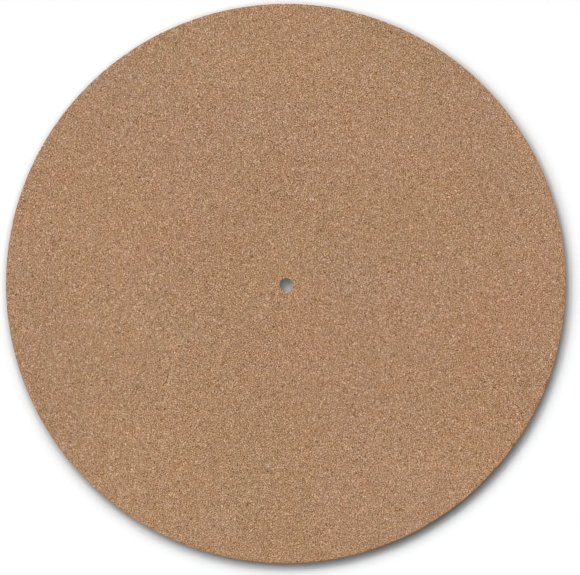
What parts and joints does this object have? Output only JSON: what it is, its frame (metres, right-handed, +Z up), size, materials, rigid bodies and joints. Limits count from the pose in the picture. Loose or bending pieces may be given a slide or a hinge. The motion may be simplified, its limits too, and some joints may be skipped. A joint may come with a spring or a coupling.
{
  "type": "turntable platter mat",
  "caption": "Thin round mat of pressed cork granules with a small spindle hole in the middle, which lies on a turntable's platter and carries the record.",
  "frame": {"origin": "on the axis of the spindle hole, at the underside that lies on the platter", "axes": "+Z up along the axis of the spindle hole, away from the platter; X and Y lie in the plane of the mat and are interchangeable"},
  "size_m": [0.3, 0.3, 0.003],
  "materials": {
    "cork": "raw pressed cork granules, sanded, matt"
  },
  "bodies": {
    "root": {"cork_mat": "cork"}
  },
  "joints": []
}
